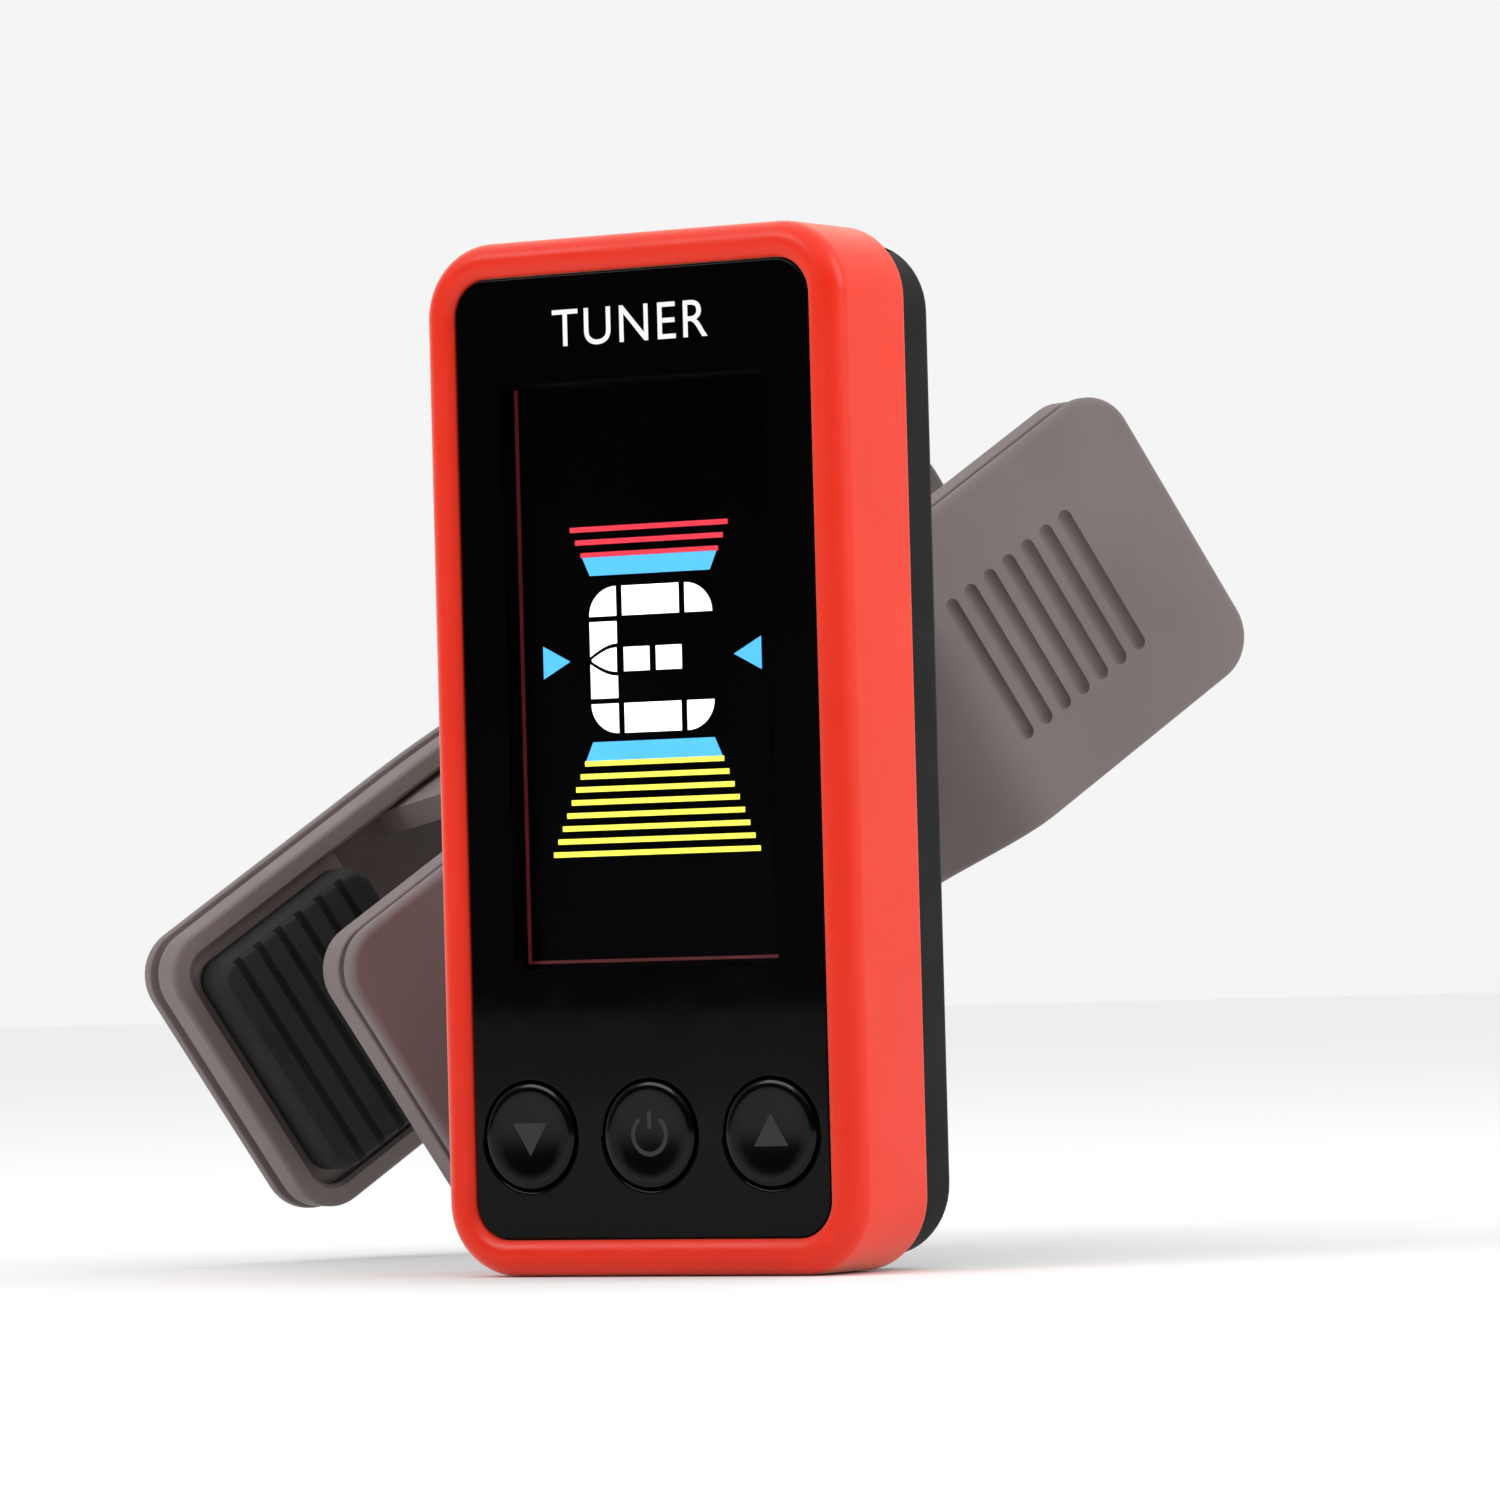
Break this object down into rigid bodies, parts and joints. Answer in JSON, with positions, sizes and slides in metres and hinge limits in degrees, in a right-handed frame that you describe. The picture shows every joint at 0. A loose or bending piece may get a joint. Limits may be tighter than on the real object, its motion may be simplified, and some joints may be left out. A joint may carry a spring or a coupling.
{
  "type": "clip-on tuner",
  "caption": "Clip-on instrument tuner: slim upright display with front buttons on a two-axis swivel, carried by a sprung jaw clip with rubber pads.",
  "frame": {"origin": "centre of the front jaw pad's gripping face", "axes": "the display faces -Y and stands upright along +Z, with +X to its right as it is read; the clip is turned 61.5 degrees to it"},
  "size_m": [0.0636, 0.0649, 0.06],
  "materials": {
    "red_plastic": "satin moulded red",
    "lens_gloss": "polished black, clear over the display",
    "screen": "display glass with lit bars",
    "light_guide": "frosted white",
    "button_gloss": "gloss black",
    "silicone": "matte grey",
    "board": "green solder mask",
    "chip": "matte black epoxy",
    "black_plastic": "fine satin texture",
    "arm_plastic": "fine matte texture, dark warm grey",
    "pad_rubber": "matte ribbed",
    "steel": "zinc plated",
    "brass": "plain"
  },
  "bodies": {
    "front_arm": {"front_arm": "arm_plastic", "front_pad": "pad_rubber", "pivot_pin": "steel", "torsion_spring": "steel"},
    "rear_arm": {"rear_arm": "arm_plastic", "rear_pad": "pad_rubber"},
    "swivel": {"swivel_post": "black_plastic", "swivel_washer": "steel", "swivel_screw": "steel", "friction_washer_upper": "steel", "friction_washer_lower": "steel"},
    "display": {"bezel": "red_plastic", "lens": "lens_gloss", "lcd_panel": "screen", "backlight": "light_guide", "keypad": "silicone", "circuit_board": "board", "processor_chip": "chip", "piezo_sensor": "brass", "negative_contact": "steel", "positive_contact": "steel", "coin_cell": "steel", "rear_housing": "black_plastic", "hinge_pin": "steel", "hinge_nut": "steel", "housing_screw_1": "steel", "housing_screw_2": "steel", "housing_screw_3": "steel", "housing_screw_4": "steel"},
    "down_button": {"down_button": "button_gloss"},
    "power_button": {"power_button": "button_gloss"},
    "up_button": {"up_button": "button_gloss"},
    "battery_door": {"battery_door": "black_plastic"}
  },
  "joints": [
    {"name": "jaw_pivot", "type": "hinge", "parent": "front_arm", "child": "rear_arm", "pos_m": [0.00126, 0.01761, 0.01068], "axis": [0.2641, 0.4863, -0.8329], "range_deg": [-31, 20], "stiffness_Nm_per_rad": 1, "deforming": ["torsion_spring"]},
    {"name": "swivel_spin", "type": "hinge", "parent": "front_arm", "child": "swivel", "pos_m": [0.01394, 0.00219, 0.0057], "axis": [0.8788, -0.4772, 0], "continuous": true},
    {"name": "display_tilt", "type": "hinge", "parent": "swivel", "child": "display", "pos_m": [0.02448, -0.00353, 0.0057], "axis": [0, 0, 1], "range_deg": [-8.5, 131.5]},
    {"name": "down_button_press", "type": "slide", "parent": "display", "child": "down_button", "axis": [0, 1, 0], "range_m": [0, 0.0004], "stiffness_N_per_m": 1200},
    {"name": "power_button_press", "type": "slide", "parent": "display", "child": "power_button", "axis": [0, 1, 0], "range_m": [0, 0.0004], "stiffness_N_per_m": 1200},
    {"name": "up_button_press", "type": "slide", "parent": "display", "child": "up_button", "axis": [0, 1, 0], "range_m": [0, 0.0004], "stiffness_N_per_m": 1200},
    {"name": "battery_door_slide", "type": "slide", "parent": "display", "child": "battery_door", "axis": [0, 0, 1], "range_m": [0, 0.026]}
  ]
}
